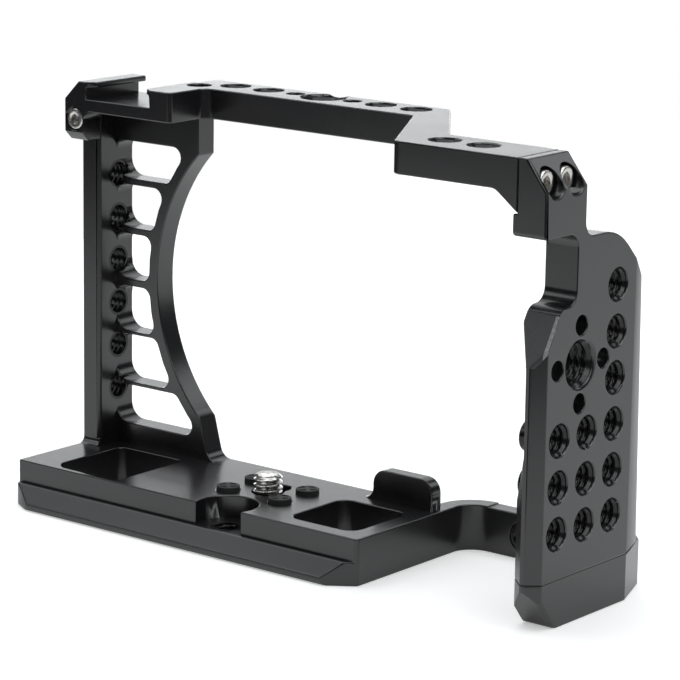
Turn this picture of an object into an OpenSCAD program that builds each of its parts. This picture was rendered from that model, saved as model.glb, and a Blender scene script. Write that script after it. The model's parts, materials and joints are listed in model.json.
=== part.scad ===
// Camera cage: a machined frame that a small camera is screwed into. The base with its
// left pillar is one piece, the top rail and the side plate are screwed to it.
// X runs to the right as seen from behind the camera, Y towards the lens, Z up.

/* [Overall] */
// Width over the left pillar and the side plate
cage_w = 144; // [136:1:152]
// Height over the top rail
cage_h = 94.8; // [90:0.2:102]

/* [Base] */
// Width of the base plate
base_w = 97.2; // [94:0.2:104]
// Depth of the base plate, rear face to front face
base_d = 32.3; // [31:0.1:36]
// Height of the base plate
base_h = 10.2; // [9.6:0.1:12]
// Reach of the rear dovetail behind the base plate
tail_out = 4.2; // [3:0.1:5]
// Height of the dovetail's shoulder
tail_h = 5.2; // [4:0.1:6]
// Thickness of the arm that leads round the grip
arm_t = 4.2; // [3.6:0.1:5]
// Front face of the arm in front of the base plate
arm_out = 10.8; // [9.6:0.1:13]

/* [Left side] */
// Thickness of the left pillar
pillar_t = 5.05; // [4.2:0.05:6]
// Depth of the left pillar
pillar_d = 11.2; // [10:0.1:12]
// Thickness of the ladder web
web_t = 5.4; // [4.5:0.1:6]
// Radius of the round cut for the lens mount
lens_r = 42.2; // [40:0.1:44]
// Height of the lens axis above the bottom
lens_z = 50; // [48:0.5:52]
// Distance of the lens axis from the left face
lens_x = 59.7; // [58.5:0.1:61]
// Width of the rib between the round cut and the windows
rib_w = 2.7; // [2:0.1:4]

/* [Top rail] */
// Thickness of the rail
rail_t = 6.7; // [6.2:0.1:8]
// Depth of the rail's long front run
rail_d = 12.3; // [11.5:0.1:14]
// Depth of the rail's rear run above the grip
rear_run_d = 14.1; // [13:0.1:15]
// Width of the cold shoe's slot
shoe_w = 18.9; // [18.6:0.1:19.2]
// Length of the cold shoe
shoe_len = 17.7; // [16.5:0.1:18.5]

/* [Side plate] */
// Thickness of the plate's foot and shoulder
plate_t = 7.5; // [7:0.1:9]
// Thickness of the crown in front of the neck
plate_thin = 5; // [4:0.1:6]
// Height of the foot under the plate
foot_h = 10; // [9:0.1:10.5]
// Depth of the plate's flat outer face
plate_face_d = 30.1; // [29:0.1:32]
// Thickness of the neck below the rail
neck_t = 7.9; // [7.6:0.1:8.6]

/* [Threads and screws] */
// Wall diameter of a 1/4-20 tapped hole
quarter_d = 5.2; // [5.1:0.05:5.3]
// Rim diameter of its countersink
quarter_rim_d = 7.2; // [6.6:0.1:7.6]
// Wall diameter of a 3/8-16 tapped hole
three_eighth_d = 8; // [7.9:0.05:8.1]
// Rim diameter of its countersink
three_eighth_rim_d = 10.8; // [10:0.1:11.4]
// Pitch between neighbouring accessory holes
hole_pitch = 9.5; // [9.2:0.1:10]
// Diameter of a locating pin hole
pin_hole_d = 4; // [3.6:0.1:4.2]
// Distance between opposite pin holes
pin_span = 15.8; // [15:0.1:16.4]
// Diameter of a frame screw's shank
shank_d = 2.5; // [2:0.1:3]
// Diameter of a frame screw's head
head_d = 4.8; // [4.4:0.1:5.2]
// Height of a frame screw's head
head_h = 2.5; // [2:0.1:2.8]
// Key size of a frame screw's socket
key_af = 2; // [1.5:0.1:2.4]
// Diameter of the camera screw's thread
stud_d = 6.35; // [6.2:0.05:6.5]
// Height of the camera screw above the base plate
stud_up = 3.9; // [3.6:0.1:5.6]
// Travel of the camera screw along its keyhole
screw_travel = 3.8; // [3:0.1:4.8]

/* [Rubber pads] */
// Diameter of a pad
pad_d = 5.1; // [4.8:0.1:5.8]
// Height of a pad above the base plate
pad_up = 1; // [0.6:0.1:1.4]
// Distance between the pads across the cage
pad_span_x = 14.6; // [14.4:0.1:17]
// Distance between the pads along the lens axis
pad_span_y = 9.4; // [8.6:0.1:9.8]

/* [Hidden] */
$fn = 64;

// Fits and allowances shared by all pieces
over = 1;
running = 0.05;
thread_play = 0.05;
arc_steps = 6;

// Colours of the finishes
black = [0.10, 0.10, 0.11];
silver = [0.74, 0.74, 0.74];
rubber = [0.07, 0.07, 0.07];
nylon = [0.85, 0.85, 0.82];

// Base plate: dovetail, pockets, recess behind the screw
tail_lip = 1.8;
tail_step = 1.1;
tail_foot = 0.8;
tail_end_run = 5.7;
tail_end_in = 0.7;
tail_left_in = 0.5;
front_tail_out = 2.1;
corner_r = 1;
pocket_edge = 1.3;
left_pocket_x = 9.5;
left_pocket_w = 19;
left_pocket_d = 22.4;
left_pocket_r = 2;
left_pocket_rear_r = 4;
right_pocket_x = 75.2;
right_pocket_w = 17.7;
right_pocket_y = 4;
right_pocket_d = 19;
right_pocket_r = 3;
recess_r = 6.9;
recess_x = 59.2;
recess_y = 3;
screw_x = 59.2;
screw_y = 16.7;

// Front stop lip
lip_w = 16;
lip_t = 3.3;
lip_up = 6.8;
lip_r = 3.2;
lip_foot_r = 2.6;
lip_back = 1.9;
lip_side = 1.2;

// Arm round the grip, and the foot at its end
arm_bend_r = 5;
arm_z = base_h;
arm_hole_gap = 14.4;
foot_bevel_y = 0.7;
prow_in_x = 2.6;
prow_y = 2.8;
prow_flat = 1.2;
prow_out_y = 0.7;
front_facet_in = 4.2;
front_facet_d = 11.1;
foot_end_in = 6.6;
foot_sweep = 6.8;
foot_sweep_top = 8.4;

// Side plate: profile seen from the side; heights are shares of the plate's height
bevel_low_share = 0.52;
shelf_share = 0.6486;
shelf_y = 3.6;
shelf_edge_r = 3;
shelf_r = 3;
scoop_y = 8.6;
scoop_drop = 4.5;
scoop_r = 2.8;
neck_front_y = 11.1;
crown_drop = 5.5;
neck_foot_r = 3;
crown_y = 22.8;
crown_r = 12;
slope_low_share = 0.7276;
slope_share = 0.9;
front_low_d = 8.5;
front_high_d = 5;
relief_low_share = 0.1887;
relief_high_share = 0.6132;
relief_low_run = 9;
relief_high_run = 8;
relief_r = 3;
relief_low_r = 6;
relief_in = 1.1;
relief_step = 0.2;
relief_y = 3.1;
front_relief_gap = 1.6;
ledge_gap = 0.1;
top_bevel_x = 4.8;
top_bevel_z = 6.2;

// Accessory holes in the side plate
grid_y = 4;
grid_low_share = 0.1132;
grid_top_share = 0.6733;
grid_rows = 3;
column_rows = 3;
big_hole_y = 10.6;
big_hole_share = 0.5059;

// Top rail: joints, plan and shoe
rail_in = 5.5;
dog_x0 = 89.1;
dog_x1 = 106.9;
dog_front_x0 = 89.7;
dog_front_x1 = 110.2;
rear_run_y = 2.8;
rail_end_step = 1;
haunch_run = 5.6;
haunch_r = 3;
haunch_drop = 4.2;
block_w = 31.5;
ear_back = 5.8;
block_corner = 1;
block_fillet = 2.4;
rail_left_run = 8.5;
shoe_end_wall = 1;
shoe_x = 6.4;
shoe_floor_h = 2.85;
shoe_lip_t = 1.3;
shoe_lip_out = 2.15;
shoe_entry = 1.7;
shoe_bevel = 4.2;
ear_w = 5.6;
ear_drop = 6.8;
ear_bevel = 2;
ear_fillet = 2;
rail_hole_x = 59.2;
rail_hole_in = 7.4;
rail_inner_gap = 15.6;
rear_hole_x = 113.8;
rear_hole_y = 4.9;
rail_corner_r = 1.2;
rear_corner_r = 2.5;

// Left pillar and web
pillar_bevel = 0.6;
pillar_foot_r = 1.6;
side_hole_in = 4.8;
side_hole_z = 23.2;
side_hole_top = 15.4;
side_holes = 6;
side_hole_into = 1.8;
web_top_x = 29.6;
stem_foot_x = 33;
stem_lean_share = 0.27;
stem_foot_r = 3;
window_shares = [[0.9037, 0.7946], [0.7754, 0.6496], [0.6303, 0.4968], [0.4750, 0.3402],
                 [0.3312, 0.1887], [0.1784, 0.0629]];
window_r = 2.3;
window_low_r = 3.8;

// Camera screw, its keyhole and its recess
neck_d = 4.9;
keyhole_round_d = 7.2;
keyhole_slot_d = 5.4;
screw_head_d = 10.2;
screw_head_h = 2.95;
screw_recess_d = 10.7;
screw_recess_h = 4.9;
washer_t = 0.6;
stud_lead = 0.6;
stud_gap = 0.1;
driver_slot_w = 1.4;
driver_slot_h = 1.3;

// Frame screws
neck_screw_y0 = 0.8;
neck_screw_y1 = 7.5;
neck_screw_up = 1.9;
neck_seat = 1.9;
neck_bore_d = 6;
screw_bore_d = 5.4;
neck_shank = 8;
ear_screw_x = 2.9;
ear_screw_drop = 1.9;
ear_seat = 2.7;
ear_shank = 9.3;
web_screw_x = 27.4;
web_seat = 4;
web_shank = 8;
foot_screw_y0 = 8.75;
foot_screw_y1 = 28.2;
foot_seat = 6.6;
foot_shank = 12.6;
key_depth = 1.4;

// Rubber pads
pad_sunk = 0.8;
pad_rib_h = 0.25;
pad_rib_w = 0.9;
pad_rim = 0.45;

// Places worked out from the sizes above
plate_x1 = cage_w;
plate_x0 = cage_w - plate_t;
neck_x0 = cage_w - neck_t;
rail_z = cage_h - rail_t;
rail_y = base_d - rail_in;
rail_hole_y = rail_y + rail_hole_in;
rail_end_x = neck_x0 + rail_end_step;
pillar_y = base_d - pillar_d;
block_y = pillar_y - ear_back;
side_hole_y = base_d - side_hole_in;
side_hole_pitch = (rail_z - side_hole_top - side_hole_z) / (side_holes - 1);
ear_screw_z = rail_z - ear_screw_drop;
neck_screw_z = rail_z + neck_screw_up;
web_y = base_d - web_t;
web_screw_y = base_d - web_t / 2;
arm_front = base_d + arm_out;
arm_rear = arm_front - arm_t;
plate_face_y0 = -prow_out_y;
plate_face_y1 = plate_face_y0 + plate_face_d;
prow_x = cage_w - prow_in_x;
relief_x = prow_x - relief_in;
rail_front = rail_y + rail_d;
block_front = block_y + shoe_len;
shoe_floor = rail_z + shoe_floor_h;
stud_bottom = base_h + stud_gap;
pad_center_y = screw_y - running;
window_r_x = lens_r + rib_w;
cage_back = -tail_out;
cage_front = arm_front;
center_x = cage_w / 2;
center_y = (cage_front + cage_back) / 2;

// Heights in the side plate and in the ladder
function plate_height(share) = foot_h + share * (cage_h - foot_h);
function web_height(share) = base_h + share * (rail_z - base_h);
bevel_low_z = plate_height(bevel_low_share);
shelf_z = plate_height(shelf_share);
slope_z = plate_height(slope_low_share);
relief_low_z = plate_height(relief_low_share);
relief_high_z = plate_height(relief_high_share);
relief_mid_z = relief_high_z - relief_high_run / 2;
ledge_z = rail_z - haunch_drop - ledge_gap;
scoop_top_z = ledge_z - scoop_drop;
crown_z = ledge_z - crown_drop;
grid_z = plate_height(grid_low_share);
row_pitch = (plate_height(grid_top_share) - grid_z) / (grid_rows + column_rows - 1);
big_hole_z = plate_height(big_hole_share);

// Points of an outline whose corner b, between a and c, is rounded with radius r
function unit(v) = v / norm(v);
function corner(a, b, c, r) =
    r == 0 ? [b] :
    let (u = unit(a - b), w = unit(c - b), half = acos(u * w) / 2,
         m = b + unit(u + w) * r / sin(half),
         d0 = unit(b + u * r / tan(half) - m), d1 = unit(b + w * r / tan(half) - m),
         turn = acos(d0 * d1))
    [for (k = [0 : arc_steps]) m + r * (sin(turn * (1 - k / arc_steps)) * d0
                                        + sin(turn * k / arc_steps) * d1) / sin(turn)];

// Outline through a list of [x, y, radius]
function xy(p) = [p[0], p[1]];
function rounded(p) =
    [for (i = [0 : len(p) - 1])
        each corner(xy(p[(i + len(p) - 1) % len(p)]), xy(p[i]), xy(p[(i + 1) % len(p)]), p[i][2])];

// Flat outline in X and Z, carried along Y from y0 to y1
module along_y(points, y0, y1) {
    translate([0, y1, 0]) rotate([90, 0, 0]) linear_extrude(y1 - y0) polygon(points);
}

// Flat outline in Y and Z, carried along X from x0 to x1
module along_x(points, x0, x1) {
    translate([x0, 0, 0]) rotate([90, 0, 90]) linear_extrude(x1 - x0) polygon(points);
}

// Flat outline in X and Y, carried up from z0 to z1
module along_z(points, z0, z1) {
    translate([0, 0, z0]) linear_extrude(z1 - z0) polygon(points);
}

// Rectangle with four equal round corners, as an outline
function round_rect(x0, y0, x1, y1, r) =
    rounded([[x0, y0, r], [x1, y0, r], [x1, y1, r], [x0, y1, r]]);

// Turns a tool that points up so that it points along an axis
module toward(axis) {
    if (axis == "+x") rotate([0, 90, 0]) children();
    if (axis == "-x") rotate([0, -90, 0]) children();
    if (axis == "+y") rotate([-90, 0, 0]) children();
    if (axis == "-y") rotate([90, 0, 0]) children();
    if (axis == "+z") children();
    if (axis == "-z") rotate([180, 0, 0]) children();
}

// Tapped hole whose mouth is at the origin and which runs down from it
module tapped(d, rim_d, depth) {
    translate([0, 0, -depth]) cylinder(d = d, h = depth + over);
    translate([0, 0, -(rim_d - d) / 2]) cylinder(d1 = d, d2 = rim_d, h = (rim_d - d) / 2);
    cylinder(d = rim_d, h = over);
}

module quarter_hole(depth) {
    tapped(quarter_d, quarter_rim_d, depth);
}

// Stepped hole for a frame screw: head bore up from the seat, thread bore down from it
module screw_bore(bore_d, bore_h, thread_h) {
    cylinder(d = bore_d, h = bore_h);
    translate([0, 0, -thread_h]) cylinder(d = shank_d + 2 * thread_play, h = thread_h + over);
}

// Socket head screw seated at the origin, with its head up
module frame_screw(shank_h) {
    difference() {
        union() {
            cylinder(d = head_d, h = head_h);
            translate([0, 0, -shank_h]) cylinder(d = shank_d, h = shank_h + over);
        }
        translate([0, 0, head_h - key_depth])
            cylinder(d = key_af / cos(30), h = key_depth + over, $fn = 6);
    }
}

// Plan of the side plate and its foot, pointed at the rear and leaning in at the front
function prow_plan(x0, y_end) =
    let (lean = front_facet_in / front_facet_d)
    [[x0, foot_bevel_y], [prow_x - prow_flat, -prow_y], [prow_x, -prow_y],
     [plate_x1, plate_face_y0], [plate_x1, plate_face_y1],
     [plate_x1 - lean * (y_end - plate_face_y1), y_end], [x0, y_end]];
foot_plan = [
    [plate_x0, foot_bevel_y], [prow_x - prow_flat, -prow_y], [prow_x, -prow_y],
    [plate_x1, plate_face_y0], [plate_x1, plate_face_y1],
    [plate_x1 - front_facet_in, plate_face_y1 + front_facet_d], [plate_x1 - foot_end_in, arm_front],
    [plate_x0, arm_front]];

// Section of the dovetail: y grows outwards from the base plate's face
function tail_section(out) =
    [[-over, 0], [out - tail_foot, 0], [out, tail_foot], [out, tail_lip],
     [min(tail_step, out), tail_h], [-over, tail_h]];

module dovetail() {
    far = max(tail_out, front_tail_out);
    intersection() {
        union() {
            along_x([for (p = tail_section(tail_out)) [-p[0], p[1]]], 0, base_w);
            along_x([for (p = tail_section(front_tail_out)) [base_d + p[0], p[1]]], 0, base_w - arm_t);
        }
        along_z([[tail_left_in, -tail_step], [tail_end_run + tail_left_in, -tail_out],
                 [base_w - tail_end_run - tail_end_in, -tail_out],
                 [base_w - tail_end_in, 0], [base_w, over], [base_w, base_d - over],
                 [base_w - arm_t - tail_end_run, base_d + far], [tail_end_run, base_d + far],
                 [0, base_d], [0, over], [tail_left_in, 0]], 0, tail_h);
    }
}

// Left pillar with its tapped holes still to come, and the web with the round lens cut
module left_side() {
    along_z([[0, pillar_y], [pillar_t - pillar_bevel, pillar_y], [pillar_t, pillar_y + pillar_bevel],
             [pillar_t, base_d], [0, base_d]], base_h - over, rail_z);
    difference() {
        along_y(rounded([[pillar_t - over, base_h - over, 0],
                         [stem_foot_x + stem_foot_r, base_h - over, 0],
                         [stem_foot_x + stem_foot_r, base_h, 0], [stem_foot_x, base_h, stem_foot_r],
                         [stem_foot_x - stem_lean_share * (lens_z - base_h), lens_z, 0],
                         [web_top_x, lens_z, 0], [web_top_x, rail_z, 0],
                         [pillar_t - over, rail_z, 0]]), web_y, base_d);
        translate([lens_x, 0, lens_z]) toward("+y") cylinder(r = lens_r, h = base_d + over, $fn = 180);
    }
    translate([0, pillar_y, base_h]) difference() {
        translate([0, -pillar_foot_r, -over]) cube([pillar_t, pillar_foot_r + over, pillar_foot_r + over]);
        translate([-over, -pillar_foot_r, pillar_foot_r]) toward("+x")
            cylinder(r = pillar_foot_r, h = pillar_t + 2 * over);
    }
}

// One window between two rungs; its sloping side keeps the rib's width to the lens cut
module window(z1, z0) {
    x_at = function (z) lens_x - sqrt(window_r_x ^ 2 - (z - lens_z) ^ 2);
    x_mid = x_at((z0 + z1) / 2);
    along_y(rounded([[pillar_t, z0, window_low_r], [x_at(z0), z0, window_r], [x_mid, (z0 + z1) / 2, 0],
                     [x_at(z1), z1, window_r], [pillar_t, z1, window_r]]),
            web_y - over, base_d + over);
}

module lip() {
    x1 = base_w - lip_side;
    x0 = x1 - lip_w;
    y1 = base_d - lip_back;
    along_y(rounded([[x0 - lip_foot_r, base_h - over, 0], [x1, base_h - over, 0],
                     [x1, base_h + lip_up, lip_r], [x0, base_h + lip_up, lip_r],
                     [x0, base_h, lip_foot_r - running], [x0 - lip_foot_r, base_h, 0]]), y1 - lip_t, y1);
}

// Arm: a leg on from the base plate's right edge, a quarter bend and a run to the foot
module arm() {
    bend_x = base_w + arm_bend_r;
    bend_y = arm_rear - arm_bend_r;
    translate([base_w - arm_t, base_d - over, 0]) cube([arm_t, bend_y - base_d + over, arm_z]);
    translate([bend_x, bend_y, 0]) intersection() {
        difference() {
            cylinder(r = arm_bend_r + arm_t, h = arm_z);
            translate([0, 0, -over]) cylinder(r = arm_bend_r, h = arm_z + 2 * over);
        }
        translate([-arm_bend_r - arm_t, 0, 0]) cube([arm_bend_r + arm_t, arm_bend_r + arm_t, arm_z]);
    }
    translate([bend_x, arm_rear, 0]) cube([plate_x0 - bend_x + over, arm_t, foot_h]);
}

// Foot under the side plate, swept up at the rear
module foot() {
    intersection() {
        along_z(foot_plan, 0, foot_h);
        along_x([[-prow_y, foot_h], [-prow_y, foot_sweep_top], [foot_sweep - prow_y, 0],
                 [arm_front, 0], [arm_front, foot_h]], plate_x0, plate_x1);
    }
}

module keyhole() {
    translate([screw_x, screw_y, screw_recess_h - over]) {
        cylinder(d = keyhole_round_d, h = base_h);
        translate([-keyhole_slot_d / 2, 0, 0]) cube([keyhole_slot_d, screw_travel, base_h]);
        translate([0, screw_travel, 0]) cylinder(d = keyhole_slot_d, h = base_h);
    }
    translate([screw_x, screw_y, -over]) {
        h = screw_recess_h + over;
        cylinder(d = screw_recess_d, h = h);
        translate([-screw_recess_d / 2, 0, 0]) cube([screw_recess_d, screw_travel, h]);
        translate([0, screw_travel, 0]) cylinder(d = screw_recess_d, h = h);
    }
}

// The four places of the rubber pads, each as [side, end]
pad_ends = [[-1, -1], [-1, 1], [1, -1], [1, 1]];
function pad_at(k) = [screw_x + pad_ends[k][0] * pad_span_x / 2,
                      pad_center_y + pad_ends[k][1] * pad_span_y / 2];

module base_frame() {
    color(black) difference() {
        union() {
            along_z(rounded([[0, 0, 0], [base_w, 0, corner_r], [base_w, base_d, 0], [0, base_d, 0]]),
                    0, base_h);
            dovetail();
            left_side();
            lip();
            arm();
            foot();
        }
        for (w = window_shares) window(web_height(w[0]), web_height(w[1]));
        along_z(rounded([[left_pocket_x, pocket_edge, left_pocket_rear_r],
                         [left_pocket_x + left_pocket_w, pocket_edge, left_pocket_r],
                         [left_pocket_x + left_pocket_w, pocket_edge + left_pocket_d, left_pocket_r],
                         [left_pocket_x, pocket_edge + left_pocket_d, left_pocket_r]]),
                -over, base_h + over);
        along_z(round_rect(right_pocket_x, right_pocket_y, right_pocket_x + right_pocket_w,
                           right_pocket_y + right_pocket_d, right_pocket_r), -over, base_h + over);
        translate([recess_x, recess_y, tail_h]) {
            cylinder(r = recess_r, h = base_h);
            quarter_hole(tail_h + over);
        }
        keyhole();
        for (k = [0 : len(pad_ends) - 1]) translate([pad_at(k)[0], pad_at(k)[1], base_h - pad_sunk])
            cylinder(d = pad_d + 2 * running, h = pad_sunk + over);
        for (i = [0 : side_holes - 1])
            translate([0, side_hole_y, side_hole_z + i * side_hole_pitch]) toward("-x")
                quarter_hole(pillar_t + side_hole_into);
        translate([base_w + arm_hole_gap, arm_rear, base_h / 2]) toward("-y") quarter_hole(arm_t + over);
        translate([ear_screw_x, block_y + ear_seat, ear_screw_z]) toward("-y")
            screw_bore(screw_bore_d, over, ear_shank + running);
        translate([web_screw_x, web_screw_y, rail_z])
            screw_bore(shank_d + 2 * thread_play, over, web_shank + web_seat - rail_t + running);
        for (y = [foot_screw_y0, foot_screw_y1])
            translate([plate_x1 - plate_t / 2, y, foot_h - foot_seat]) toward("-z")
                screw_bore(screw_bore_d, foot_h, foot_h);
    }
}

// Plan of the rail: shoe block, front run, diagonal and rear run
rail_plan = rounded([
    [0, block_y, 0], [block_w, block_y, block_corner],
    [block_w, rail_y, block_fillet], [dog_x0, rail_y, rail_corner_r],
    [dog_x1, -rear_run_y, rear_corner_r], [rail_end_x, -rear_run_y, 0],
    [rail_end_x, rear_run_d - rear_run_y, 0], [dog_front_x1, rear_run_d - rear_run_y, rail_corner_r],
    [dog_front_x0, rail_front, rail_corner_r], [shoe_x + shoe_w, rail_front, rail_corner_r],
    [shoe_x + shoe_w - rail_left_run, block_front, 0], [0, block_front, 0]]);

module shoe_slot() {
    z_lip = cage_h - shoe_lip_t;
    far = block_front + over;
    translate([shoe_x, block_y - over, shoe_floor])
        cube([shoe_w, far - block_y + over, z_lip - shoe_floor]);
    translate([shoe_x + shoe_lip_out, block_y - over, shoe_floor])
        cube([shoe_w - 2 * shoe_lip_out, far - block_y + over, rail_t]);
    along_z([[shoe_x, block_y - over], [shoe_x, block_y],
             [shoe_x + shoe_lip_out, block_y + shoe_entry],
             [shoe_x + shoe_w - shoe_lip_out, block_y + shoe_entry],
             [shoe_x + shoe_w, block_y], [shoe_x + shoe_w, block_y - over]],
            z_lip - over, cage_h + over);
    translate([shoe_x, block_front, shoe_floor]) cube([shoe_w - shoe_end_wall, rail_d, rail_t]);
}

module ear() {
    z0 = rail_z - ear_drop;
    along_x([[block_y, rail_z + over], [block_y, z0 + ear_bevel], [block_y + ear_bevel, z0],
             [pillar_y, z0], [pillar_y, rail_z + over]], 0, ear_w);
    translate([ear_w, block_y, rail_z - ear_fillet]) difference() {
        translate([-over, 0, 0]) cube([ear_fillet + over, pillar_y - block_y, ear_fillet + over]);
        translate([ear_fillet, -over, 0]) toward("+y") cylinder(r = ear_fillet, h = pillar_d);
    }
}

module top_rail() {
    color(black) difference() {
        union() {
            along_z(rail_plan, rail_z, cage_h);
            ear();
            along_y(rounded([[rail_end_x - 2 * haunch_run, rail_z + over, 0],
                             [rail_end_x - 2 * haunch_run, rail_z, 0],
                             [rail_end_x - haunch_run, rail_z, haunch_r],
                             [rail_end_x, rail_z - haunch_drop, 0], [rail_end_x, rail_z + over, 0]]),
                    -rear_run_y, rear_run_d - rear_run_y);
        }
        shoe_slot();
        along_y([[-over, cage_h - shoe_bevel - over], [shoe_bevel + over, cage_h + over],
                 [-over, cage_h + over]], block_y - over, block_front + over);
        translate([rail_hole_x, rail_hole_y, cage_h]) {
            tapped(three_eighth_d, three_eighth_rim_d, rail_t + over);
            for (s = [-1, 1]) {
                translate([s * pin_span / 2, 0, -rail_t - over])
                    cylinder(d = pin_hole_d, h = rail_t + 2 * over);
                for (k = [0, 1]) translate([s * (rail_inner_gap + k * hole_pitch), 0, 0])
                    quarter_hole(rail_t + over);
            }
        }
        translate([web_screw_x, web_screw_y, cage_h - web_seat])
            screw_bore(screw_bore_d, web_seat + over, rail_t);
        for (k = [0, 1]) translate([rear_hole_x + k * hole_pitch, rear_hole_y, cage_h])
            quarter_hole(rail_t + over);
        translate([ear_screw_x, block_y + ear_seat, ear_screw_z]) toward("-y")
            screw_bore(screw_bore_d, ear_seat + over, ear_shank);
        for (y = [neck_screw_y0, neck_screw_y1])
            translate([rail_end_x, y, neck_screw_z]) toward("+x")
                screw_bore(shank_d + 2 * thread_play, over, neck_shank - neck_seat + running);
    }
}

// Side view of the plate: pointed shoulder, scooped throat, neck and rounded crown
plate_profile = rounded([
    [-prow_y, foot_h, 0], [-prow_y, bevel_low_z, 0],
    [shelf_y, shelf_z, shelf_edge_r], [scoop_y, shelf_z, shelf_r], [scoop_y, scoop_top_z, scoop_r],
    [-rear_run_y, scoop_top_z, corner_r], [-rear_run_y, cage_h, 0], [neck_front_y, cage_h, 0],
    [neck_front_y, crown_z, neck_foot_r], [crown_y, crown_z, crown_r],
    [plate_face_y1, slope_z, corner_r],
    [plate_face_y1 + front_high_d, slope_z - slope_share * front_high_d, corner_r],
    [plate_face_y1 + front_low_d, foot_h, 0]]);

// Thumb relief along the plate's rear edge: its outline seen from behind, cut back to a bevel
module thumb_relief() {
    intersection() {
        along_y(rounded([[neck_x0 - over, relief_low_z, 0], [plate_x0, relief_low_z, 0],
                         [relief_x, relief_low_z + relief_low_run, relief_low_r],
                         [relief_x, relief_high_z - relief_high_run, relief_r],
                         [neck_x0, relief_high_z, 0], [neck_x0 - over, relief_high_z, 0]]),
                -prow_y - 2 * over, relief_y + over);
        along_z([[relief_x, relief_step - prow_y], [plate_x0, relief_y],
                 [neck_x0 - 2 * over, relief_y], [neck_x0 - 2 * over, -prow_y - over],
                 [relief_x + over, -prow_y - over], [relief_x + over, relief_step - prow_y]],
                foot_h, cage_h);
    }
}

module side_plate() {
    color(black) difference() {
        intersection() {
            along_x(plate_profile, neck_x0, plate_x1);
            union() {
                along_z(prow_plan(plate_x0, arm_front), foot_h, relief_mid_z);
                along_z(prow_plan(neck_x0, arm_front), relief_mid_z, ledge_z);
                translate([neck_x0, -prow_y, scoop_top_z])
                    cube([neck_t, arm_front, ledge_z - scoop_top_z]);
                translate([rail_end_x, -prow_y, scoop_top_z])
                    cube([cage_w - rail_end_x, arm_front, cage_h - scoop_top_z]);
            }
        }
        thumb_relief();
        along_z(rounded([[neck_x0 - over, neck_front_y + front_relief_gap, 0],
                         [plate_x1 - plate_thin, neck_front_y + front_relief_gap, relief_r],
                         [plate_x1 - plate_thin, arm_front, 0], [neck_x0 - over, arm_front, 0]]),
                relief_high_z - relief_high_run, cage_h);
        along_y([[plate_x1 - top_bevel_x, cage_h + running], [plate_x1 + running, cage_h - top_bevel_z],
                 [plate_x1 + over, cage_h - top_bevel_z], [plate_x1 + over, cage_h + over],
                 [plate_x1 - top_bevel_x, cage_h + over]], -prow_y - over, neck_front_y + over);
        for (r = [0 : grid_rows - 1], c = [0 : grid_rows - 1])
            translate([plate_x1, grid_y + c * hole_pitch, grid_z + r * row_pitch]) toward("+x")
                quarter_hole(plate_t + over);
        for (r = [grid_rows : grid_rows + column_rows - 1])
            translate([plate_x1, grid_y + (grid_rows - 1) * hole_pitch, grid_z + r * row_pitch])
                toward("+x") quarter_hole(plate_t + over);
        translate([plate_x1, big_hole_y, big_hole_z]) toward("+x") {
            tapped(three_eighth_d, three_eighth_rim_d, plate_t + over);
            for (a = [0 : 90 : 270]) rotate(a) translate([pin_span / 2, 0, -plate_t - over])
                cylinder(d = pin_hole_d, h = plate_t + 2 * over);
        }
        for (y = [neck_screw_y0, neck_screw_y1])
            translate([rail_end_x + neck_seat, y, neck_screw_z]) toward("+x")
                screw_bore(neck_bore_d, neck_t, neck_seat + over);
        for (y = [foot_screw_y0, foot_screw_y1])
            translate([plate_x1 - plate_t / 2, y, foot_h]) toward("-z")
                screw_bore(shank_d + 2 * thread_play, over, foot_shank - foot_seat + running);
    }
}

module ear_screw() {
    color(silver) translate([ear_screw_x, block_y + ear_seat, ear_screw_z]) toward("-y")
        frame_screw(ear_shank);
}

module web_screw() {
    color(silver) translate([web_screw_x, web_screw_y, cage_h - web_seat]) frame_screw(web_shank);
}

module neck_screw(y) {
    color(silver) translate([rail_end_x + neck_seat, y, neck_screw_z]) toward("+x")
        frame_screw(neck_shank);
}

module foot_screw(y) {
    color(silver) translate([plate_x1 - plate_t / 2, y, foot_h - foot_seat]) toward("-z")
        frame_screw(foot_shank);
}

// Camera screw: broad head in the recess, neck in the keyhole, thread above the base plate
module camera_screw() {
    head_z = screw_recess_h - washer_t - 2 * running - screw_head_h;
    color(silver) translate([screw_x, screw_y, 0]) difference() {
        union() {
            translate([0, 0, head_z]) cylinder(d = screw_head_d, h = screw_head_h);
            translate([0, 0, head_z]) cylinder(d = neck_d, h = stud_bottom - head_z + running);
            translate([0, 0, stud_bottom]) cylinder(d = stud_d, h = stud_up - stud_lead);
            translate([0, 0, stud_bottom + stud_up - stud_lead])
                cylinder(d1 = stud_d, d2 = stud_d - 2 * stud_lead, h = stud_lead);
        }
        translate([-screw_head_d, -driver_slot_w / 2, head_z - over])
            cube([2 * screw_head_d, driver_slot_w, driver_slot_h + over]);
    }
}

// Thin washer between the screw's head and the roof of the recess
module slide_washer() {
    color(nylon) translate([screw_x, screw_y, screw_recess_h - washer_t - running]) difference() {
        cylinder(d = screw_head_d, h = washer_t);
        translate([0, 0, -over]) cylinder(d = neck_d + 2 * running, h = washer_t + 2 * over);
    }
}

// Rubber pad with a raised rim and a raised cross, sunk into the base plate
module pad(k) {
    p = pad_at(k);
    color(rubber) translate([p[0], p[1], base_h - pad_sunk]) {
        difference() {
            cylinder(d = pad_d, h = pad_sunk + pad_up);
            translate([0, 0, pad_sunk + pad_up - pad_rib_h])
                cylinder(d = pad_d - 2 * pad_rim, h = pad_rib_h + over);
        }
        for (a = [45, 135]) rotate(a)
            translate([-pad_d / 2 + pad_rim, -pad_rib_w / 2, pad_sunk + pad_up - 2 * pad_rib_h])
                cube([pad_d - 2 * pad_rim, pad_rib_w, 2 * pad_rib_h]);
    }
}

module place() {
    translate([-center_x, -center_y, 0]) children();
}

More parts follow.
